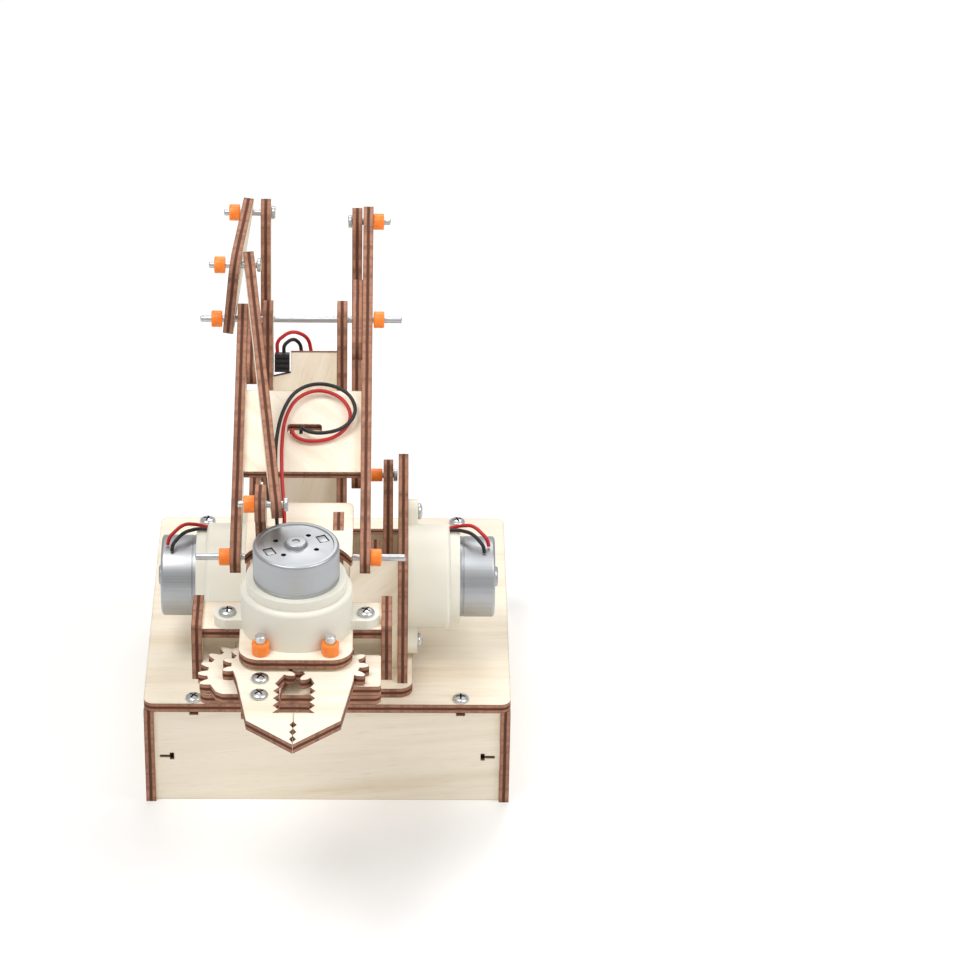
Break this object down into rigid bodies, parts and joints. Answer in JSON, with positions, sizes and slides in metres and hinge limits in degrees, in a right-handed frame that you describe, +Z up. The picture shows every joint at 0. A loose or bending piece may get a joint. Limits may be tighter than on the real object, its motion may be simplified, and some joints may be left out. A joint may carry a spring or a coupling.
{
  "type": "robot arm",
  "caption": "Desk-top plywood robot arm on a boxed turning base: parallel linkage keeps its geared two-jaw gripper level.",
  "frame": {"origin": "middle of the base's underside, on the surface that it stands on", "axes": "+X to the right seen from the gripper's end looking at the base, +Y back from the gripper towards the base's rear panel, +Z up"},
  "size_m": [0.11, 0.1991, 0.164],
  "materials": {
    "plywood": "laser-cut birch plywood, satin, dark burnt edges",
    "orange_sleeve": "translucent orange rubber tube",
    "motor_plastic": "moulded ivory plastic",
    "motor_steel": "drawn steel can",
    "steel": "zinc-plated",
    "shaft_plastic": "moulded white plastic",
    "black_plastic": "moulded black plastic",
    "lead_insulation": "soft insulation, one lead of each pair red and one black",
    "circuit_board": "green solder mask"
  },
  "bodies": {
    "base": {"base_top_plate": "plywood", "base_side_panels": "plywood", "base_end_panels": "plywood", "base_floor_plate": "plywood", "base_gearbox": "motor_plastic", "base_motor_can": "motor_steel", "base_screws": "steel", "battery_holder": "black_plastic", "receiver_board": "circuit_board"},
    "column": {"turntable_plate": "plywood", "base_motor_shaft": "shaft_plastic", "column_walls": "plywood", "column_cross_panels": "plywood", "shoulder_bracket": "plywood", "shoulder_gearboxes": "motor_plastic", "shoulder_motor_cans": "motor_steel", "shoulder_screws": "steel", "shoulder_motor_leads": "lead_insulation", "column_pins": "steel", "column_pin_sleeve": "orange_sleeve"},
    "upper_arm": {"upper_arm_plates": "plywood", "left_motor_shaft": "shaft_plastic", "upper_arm_panel": "plywood", "lead_plug": "black_plastic", "upper_arm_leads": "lead_insulation", "elbow_rod": "steel", "elbow_sleeves": "orange_sleeve"},
    "level_plate": {"level_plate": "plywood", "level_pins": "steel", "level_sleeves": "orange_sleeve"},
    "rear_link": {"rear_link": "plywood"},
    "forearm": {"forearm_plates": "plywood", "forearm_doublers": "plywood", "forearm_panel": "plywood", "gripper_motor_leads": "lead_insulation", "forearm_pins": "steel", "forearm_sleeves": "orange_sleeve"},
    "crank": {"crank_plate": "plywood", "right_motor_shaft": "shaft_plastic"},
    "crank_pin": {"crank_pin": "steel", "crank_pin_spacer": "orange_sleeve"},
    "drive_link": {"drive_link": "plywood"},
    "gripper_link": {"gripper_link": "plywood"},
    "gripper": {"gripper_motor_plate": "plywood", "gripper_lower_plate": "plywood", "gripper_spacer_plate": "plywood", "gripper_outer_cheeks": "plywood", "wrist_cheeks": "plywood", "wrist_bridge_plate": "plywood", "gripper_gearbox": "motor_plastic", "gripper_motor_can": "motor_steel", "gripper_screws": "steel", "gripper_bolts": "steel", "gripper_sleeves": "orange_sleeve"},
    "left_jaw": {"left_jaw": "plywood", "jaw_sector_gear": "plywood", "jaw_screws": "steel"},
    "right_jaw": {"right_jaw": "plywood"},
    "pinion": {"gripper_pinion": "plywood", "gripper_motor_shaft": "shaft_plastic"}
  },
  "joints": [
    {"name": "turn", "type": "hinge", "parent": "base", "child": "column", "pos_m": [0, -0.025, 0.036], "axis": [0, 0, 1], "range_deg": [-90, 90]},
    {"name": "shoulder", "type": "hinge", "parent": "column", "child": "upper_arm", "pos_m": [0, -0.025, 0.064], "axis": [1, 0, 0], "range_deg": [-5, 30]},
    {"name": "level_pivot", "type": "hinge", "parent": "upper_arm", "child": "level_plate", "pos_m": [0, 0.002, 0.1374], "axis": [1, 0, 0], "range_deg": [-30, 5]},
    {"name": "rear_link_pivot", "type": "hinge", "parent": "level_plate", "child": "rear_link", "pos_m": [0, 0.028, 0.1594], "axis": [1, 0, 0], "range_deg": [-5, 30]},
    {"name": "elbow", "type": "hinge", "parent": "level_plate", "child": "forearm", "pos_m": [0, 0.002, 0.1374], "axis": [1, 0, 0], "range_deg": [-20, 5]},
    {"name": "crank_pivot", "type": "hinge", "parent": "column", "child": "crank", "pos_m": [0, -0.025, 0.064], "axis": [1, 0, 0], "range_deg": [-20, 5]},
    {"name": "crank_pin_pivot", "type": "hinge", "parent": "crank", "child": "crank_pin", "pos_m": [0, 0.00881, 0.07903], "axis": [1, 0, 0], "range_deg": [-5, 20]},
    {"name": "drive_link_pivot", "type": "hinge", "parent": "crank_pin", "child": "drive_link", "pos_m": [0, 0.00881, 0.07903], "axis": [1, 0, 0], "range_deg": [-5, 30]},
    {"name": "wrist", "type": "hinge", "parent": "forearm", "child": "gripper", "pos_m": [0, -0.0754, 0.103], "axis": [1, 0, 0], "range_deg": [-5, 20], "deforming": ["gripper_motor_leads"]},
    {"name": "gripper_link_pivot", "type": "hinge", "parent": "level_plate", "child": "gripper_link", "pos_m": [0, -0.004, 0.1589], "axis": [1, 0, 0], "range_deg": [-20, 5]},
    {"name": "jaw_pivot", "type": "hinge", "parent": "gripper", "child": "left_jaw", "pos_m": [-0.01745, -0.10801, 0.0865], "axis": [0, 0, 1], "range_deg": [-30, 0]},
    {"name": "right_jaw_pivot", "type": "hinge", "parent": "gripper", "child": "right_jaw", "pos_m": [0.00205, -0.10801, 0.0865], "axis": [0, 0, 1], "range_deg": [0, 30]},
    {"name": "pinion_spin", "type": "hinge", "parent": "gripper", "child": "pinion", "pos_m": [-0.0077, -0.0869, 0.0865], "axis": [0, 0, 1], "range_deg": [0, 73.34]}
  ],
  "couplings": [
    {"joint": "level_pivot", "follows": "shoulder", "ratio": -1},
    {"joint": "rear_link_pivot", "follows": "shoulder", "ratio": 1},
    {"joint": "drive_link_pivot", "follows": "shoulder", "ratio": 1},
    {"joint": "crank_pivot", "follows": "elbow", "ratio": 1},
    {"joint": "crank_pin_pivot", "follows": "elbow", "ratio": -1},
    {"joint": "wrist", "follows": "elbow", "ratio": -1},
    {"joint": "gripper_link_pivot", "follows": "elbow", "ratio": 1},
    {"joint": "right_jaw_pivot", "follows": "jaw_pivot", "ratio": -1},
    {"joint": "pinion_spin", "follows": "jaw_pivot", "ratio": -2.4444}
  ]
}
